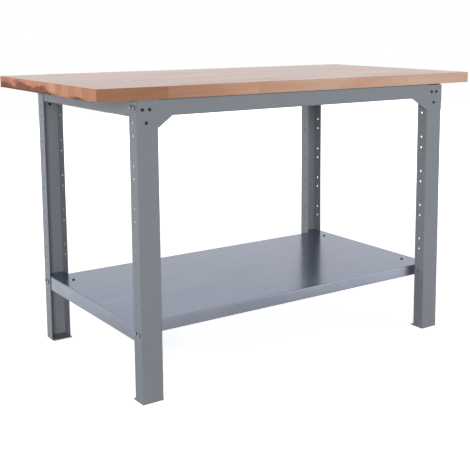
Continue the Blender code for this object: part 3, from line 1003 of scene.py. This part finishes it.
# %% [markdown]
# ## A fastener in every place
#
# Nobody lines up bolt heads when tightening them, so every copy gets its own turn about its axis.
# The turn is worked out from its number, so that it is the same each time.

# %% Copy the fasteners
golden_turn = math.radians(137.5)
upwards = Vector((0, 0, 1))


def outward_from_bench(name, axis):
    """An upright axis as it is, or a level one with the sign that points away from the bench."""
    axis = Vector(axis)
    low, high = corners(name)
    if axis.z == 0 and ((low + high) / 2).dot(axis) <= 0:
        return -axis
    return axis


def fasten(pattern, finish, names, axis, head_height):
    """Puts a copy of a fastener in each solid's place, each turned further about its axis."""
    pattern.data.materials.append(finish.material)
    for number, name in enumerate(names):
        outward = outward_from_bench(name, axis)
        bpy.ops.object.select_all(action="DESELECT")
        pattern.select_set(True)
        bpy.context.view_layer.objects.active = pattern
        bpy.ops.object.duplicate()
        piece = bpy.context.object
        piece.name = name + "_detailed"
        twist = Matrix.Rotation(golden_turn * (number + 1), 3, "Z")
        turn = upwards.rotation_difference(outward).to_matrix()
        piece.rotation_euler = (turn @ twist).to_euler()
        piece.location = seat_of(name, outward, head_height)[0]
        bpy.ops.object.transform_apply(location=True, rotation=True)
        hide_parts(name)
        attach(piece, "root")
    bpy.data.objects.remove(pattern)
    print(len(names), "copies of", names[0])


rail_bolts = names_with("side_rail_bolt_")
shelf_bolts = names_with("shelf_bolt_")
rail_screws = names_with("rail_screw_")
tray_screws = names_with("tray_screw_")
worktop_screws = names_with("worktop_screw_")
fasten(rail_bolt, plate, rail_bolts, (1, 0, 0), bolt_head_height)
fasten(shelf_bolt, plate, shelf_bolts, (1, 0, 0), bolt_head_height)
fasten(rail_screw, oxide, rail_screws, (0, 1, 0), button_height)
fasten(tray_screw, oxide, tray_screws, (0, 0, 1), button_height)
fasten(worktop_screw, plate, worktop_screws, (0, 0, -1), pan_height)

# %% [markdown]
# ## Floor and backdrop
#
# The bench stands on a plain pale floor. To the camera the floor and the world are white, while
# their light on the bench stays at a plain level: Light Path tells the kinds of rays apart. In
# reflections the world is white too, and the floor glows dimmer, with painted light and shade:
# least bright under the bench, a painted shadow of the bench, and brightest on the right, a
# painted pool of light, as in the photograph.

# %% A pale floor that keeps the shadow
floor_size = 14
floor_drop = 0.0005
near_glow = 0.80
far_glow = 0.8
# Glow levels of the painted shade and light that the floor shows in reflections.
painted_shade_glow = 0.16
open_glow = 0.26
right_glow = 0.38
left_glow = 0.14

bpy.ops.object.select_all(action="DESELECT")
bpy.ops.mesh.primitive_plane_add(size=floor_size, location=(0, 0, -floor_drop))
floor = bpy.context.object
floor.name = "studio_floor"

pale = Finish("pale_floor")
x, y = pale.along()[:2]
distance = (x * x + y * y) ** 0.5
rays = pale.readings("LightPath")
direct_glow = near_glow + distance.ramp(1.2, 3.5) * far_glow
# Painted shadow and light for reflections: the floor glows least near the bench, more away from
# it, and more again to the right and to the left.
painted_light_away = distance.ramp(0.75, 1.2) * open_glow
painted_light_right = x.ramp(-0.1, 1.2) * right_glow
painted_light_left = x.ramp(-0.3, -0.8) * left_glow
painted_reflected_glow = painted_shade_glow + painted_light_away + painted_light_right + painted_light_left
seen_directly = rays["Is Camera Ray"] * direct_glow
seen_mirrored = (rays["Is Glossy Ray"] + rays["Is Transmission Ray"]) * painted_reflected_glow
pale.set(
    Base_Color=(0.80, 0.80, 0.80),
    Roughness=0.9,
    Specular_IOR_Level=0.1,
    Emission_Color=seen_directly + seen_mirrored,
    Emission_Strength=1.0,
)
floor.data.materials.append(pale.material)

# %% World
plain_level = 0.22
white = 1.0
world = bpy.data.worlds.new("studio")
world.use_nodes = True
bpy.context.scene.world = world
sky = Network(world.node_tree)
background = sky.tree.nodes["Background"]
rays = sky.readings("LightPath")
shown = rays["Is Camera Ray"].most(rays["Is Glossy Ray"]).most(rays["Is Transmission Ray"])
levels = {"Value": shown, "To Min": plain_level, "To Max": white}
sky.feed(background.inputs["Strength"], sky.node("MapRange", inputs=levels)[0])
sky.feed(background.inputs["Color"], (1, 1, 1))
print("the world shines at", plain_level, "and shows as", white)

# %% [markdown]
# ## Soft lamps
#
# Four area lamps stand in for a studio's soft boxes. The one on the left lights the outer flanges
# of the legs. The one behind the camera looks into the open channels, which would otherwise be
# dark, and its shadows fall behind the bench. It stands far off, so that the near leg isn't much
# lighter than the far one. Mirrored in the oiled worktop, these two would leave a white patch
# that hides its outline, so reflections don't show them. The two weak ones, on the right and
# above, lighten the right half of the front and the worktop.

# %% Lamps
daylight = (0.88, 0.94, 1.0)
lamp_white = (1, 1, 1)
bench_middle = (0, 0, 0.5)
right_of_middle = (0.3, 0, 0.5)


def soft_box(name, place, size, power, colour=daylight, target=bench_middle, mirrored=True):
    """A square area lamp at a place, turned towards a target."""
    lamp = bpy.data.lights.new(name, "AREA")
    lamp.size = size
    lamp.energy = power
    lamp.color = colour
    lamp_object = bpy.data.objects.new(name, lamp)
    lamp_object.visible_glossy = mirrored
    bpy.context.scene.collection.objects.link(lamp_object)
    lamp_object.location = place
    towards = Vector(target) - Vector(place)
    lamp_object.rotation_euler = towards.to_track_quat("-Z", "Y").to_euler()
    print(name, "is", round(towards.length, 1), "m away")


soft_box("left_soft_box", (-3.3, 2.3, 1.4), size=2.0, power=66, mirrored=False)
soft_box("right_soft_box", (2.0, -2.2, 1.3), size=1.4, power=11, target=right_of_middle)
soft_box(
    "front_soft_box", (-6.4, -9.8, 2.4), size=3.0, power=712, colour=lamp_white, mirrored=False
)
soft_box("top_soft_box", (0.2, 0.2, 3.4), size=2.4, power=17)

# %% [markdown]
# ## Camera
#
# The camera stands at the front left, a little above the worktop, and looks slightly down. Its
# place, turn and focal length follow from where the bench's straight edges meet in the distance.
# The frame is set off to one side of the lens's axis, as when a picture is cropped, so the
# upright legs keep their slant.

# %% Camera at the bench's front left
looks_down = 8.35
looks_right = 36.24
lens_data = bpy.data.cameras.new("camera")
lens_data.lens = 69.5
lens_data.sensor_width = 36
lens_data.shift_x = -0.104
lens_data.shift_y = -0.170
camera = bpy.data.objects.new("camera", lens_data)
bpy.context.scene.collection.objects.link(camera)
camera.location = (-1.6347, -2.4527, 1.0313)
camera.rotation_euler = (math.radians(90 - looks_down), 0, math.radians(-looks_right))
bpy.context.scene.camera = camera
bpy.context.scene.view_settings.view_transform = "Standard"
print("the camera is", round(camera.location.length, 2), "m from the bench's foot")
